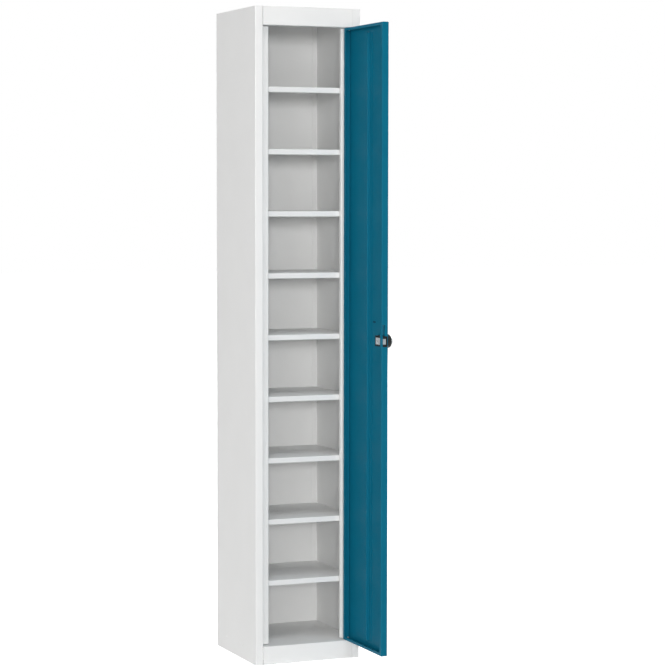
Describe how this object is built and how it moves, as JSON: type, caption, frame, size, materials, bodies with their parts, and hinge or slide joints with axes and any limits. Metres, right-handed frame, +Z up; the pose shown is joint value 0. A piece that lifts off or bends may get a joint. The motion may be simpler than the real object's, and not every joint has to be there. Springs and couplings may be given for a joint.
{
  "type": "tablet locker",
  "caption": "Tall narrow steel locker with equal open compartments behind one full-height hinged door with a round key-operated knob lock; stored with its door open.",
  "frame": {"origin": "on the ground, under the middle of the box round the cabinet and its door, open at a right angle; the cabinet's own footprint is centred 123 mm behind it", "axes": "+X to the cabinet's right seen from the front, +Y to its back, +Z up; the front faces -Y"},
  "size_m": [0.307, 0.551, 1.78],
  "materials": {
    "cabinet_paint": "satin",
    "door_paint": "satin",
    "zinc_plated_steel": "satin",
    "lock_plating": "satin",
    "lock_steel": "satin",
    "knob_plastic": "gloss",
    "black_painted_steel": "matte",
    "bush_plastic": "matte",
    "plug_plastic": "matte"
  },
  "bodies": {
    "cabinet": {"left_side_panel": "cabinet_paint", "right_side_panel": "cabinet_paint", "back_panel": "cabinet_paint", "top_panel": "cabinet_paint", "floor_panel": "cabinet_paint", "floor_rivets": "cabinet_paint", "hinge_bracket_top": "cabinet_paint", "hinge_bracket_bottom": "cabinet_paint", "hinge_pin_top": "zinc_plated_steel", "hinge_pin_bottom": "zinc_plated_steel", "shelf_1": "cabinet_paint", "shelf_2": "cabinet_paint", "shelf_3": "cabinet_paint", "shelf_4": "cabinet_paint", "shelf_5": "cabinet_paint", "shelf_6": "cabinet_paint", "shelf_7": "cabinet_paint", "shelf_8": "cabinet_paint", "shelf_9": "cabinet_paint"},
    "door": {"door_skin": "door_paint", "door_stiffener": "door_paint", "door_hinge_plate_top": "door_paint", "door_hinge_plate_bottom": "door_paint", "hinge_bush_top": "bush_plastic", "hinge_bush_bottom": "bush_plastic", "lock_knob": "knob_plastic", "lock_barrel": "lock_steel", "lock_backplate": "black_painted_steel", "lock_case": "black_painted_steel", "lock_cover": "lock_plating", "lock_case_screws": "zinc_plated_steel", "blanking_plug": "plug_plastic"},
    "lock_plug": {"key_plug": "lock_steel", "lock_crank": "lock_steel"},
    "lock_bolt": {"lock_bolt": "lock_steel"}
  },
  "joints": [
    {"name": "door_hinge", "type": "hinge", "parent": "cabinet", "child": "door", "pos_m": [0.1225, -0.0245, 0.89], "axis": [0, 0, 1], "range_deg": [-90, 25]},
    {"name": "lock_turn", "type": "hinge", "parent": "door", "child": "lock_plug", "pos_m": [0.1275, -0.2505, 0.89], "axis": [1, 0, 0], "range_deg": [0, 90]},
    {"name": "bolt_slide", "type": "slide", "parent": "door", "child": "lock_bolt", "axis": [0, -1, 0], "range_m": [0, 0.00778]}
  ],
  "couplings": [
    {"joint": "bolt_slide", "follows": "lock_turn", "m_per_rad": 0.004952}
  ]
}
